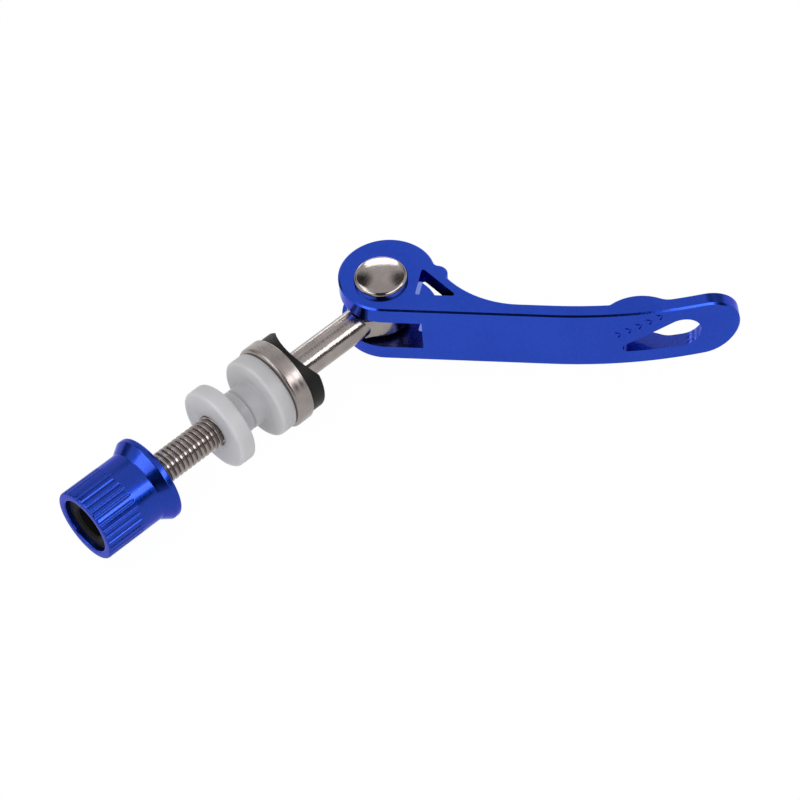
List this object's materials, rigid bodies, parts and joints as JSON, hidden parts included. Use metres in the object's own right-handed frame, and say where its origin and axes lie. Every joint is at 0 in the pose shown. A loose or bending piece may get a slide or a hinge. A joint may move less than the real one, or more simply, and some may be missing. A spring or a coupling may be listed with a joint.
{
  "type": "quick release seatpost clamp",
  "caption": "Quick-release seat clamp bolt: forked cam lever on an eye bolt, grooved cam saddle in a steel cup washer, flanged bushings and a fluted thumb nut.",
  "frame": {"origin": "on the bolt axis where the necks of the bushings meet, midway between the ears of the collar that the bolt draws together", "axes": "+X along the bolt from the nut towards the lever, +Z along the lever's pivot pin; the part lies on its side"},
  "size_m": [0.1123, 0.0583, 0.0166],
  "materials": {
    "anodised_aluminium": "blue anodised, satin",
    "steel": "nickel plated, lightly brushed",
    "white_nylon": "natural nylon, smooth",
    "black_plastic": "moulded, matt",
    "black_nylon": "moulded, matt"
  },
  "bodies": {
    "bolt": {"eye_bolt": "steel"},
    "lever": {"lever": "anodised_aluminium", "pivot_pin": "steel"},
    "nut_lock": {"nut_insert": "black_nylon"},
    "nut": {"thumb_nut": "anodised_aluminium"},
    "nut_bushing": {"nut_side_bushing": "white_nylon"},
    "lever_bushing": {"lever_side_bushing": "white_nylon"},
    "cup": {"cup_washer": "steel"},
    "saddle": {"cam_saddle": "black_plastic"}
  },
  "joints": [
    {"name": "lever_pivot", "type": "hinge", "parent": "bolt", "child": "lever", "pos_m": [0.0345, 0, 0], "axis": [0, 0, 1], "range_deg": [-40, 140]},
    {"name": "nut_travel", "type": "slide", "parent": "bolt", "child": "nut_lock", "axis": [1, 0, 0], "range_m": [-0.00201, 0.00801]},
    {"name": "nut_spin", "type": "hinge", "parent": "nut_lock", "child": "nut", "pos_m": [-0.028, 0, 0], "axis": [1, 0, 0], "range_deg": [-720, 2880]},
    {"name": "nut_bushing_slide", "type": "slide", "parent": "bolt", "child": "nut_bushing", "axis": [1, 0, 0], "range_m": [-0.004, 0.003]},
    {"name": "lever_bushing_slide", "type": "slide", "parent": "nut_bushing", "child": "lever_bushing", "axis": [1, 0, 0], "range_m": [0, 0.006]},
    {"name": "cup_slide", "type": "slide", "parent": "lever_bushing", "child": "cup", "axis": [1, 0, 0], "range_m": [0, 0.002]},
    {"name": "saddle_spin", "type": "hinge", "parent": "cup", "child": "saddle", "pos_m": [0.01, 0, 0], "axis": [1, 0, 0], "continuous": true}
  ],
  "couplings": [
    {"joint": "nut_travel", "follows": "nut_spin", "m_per_rad": 0.00015915}
  ]
}
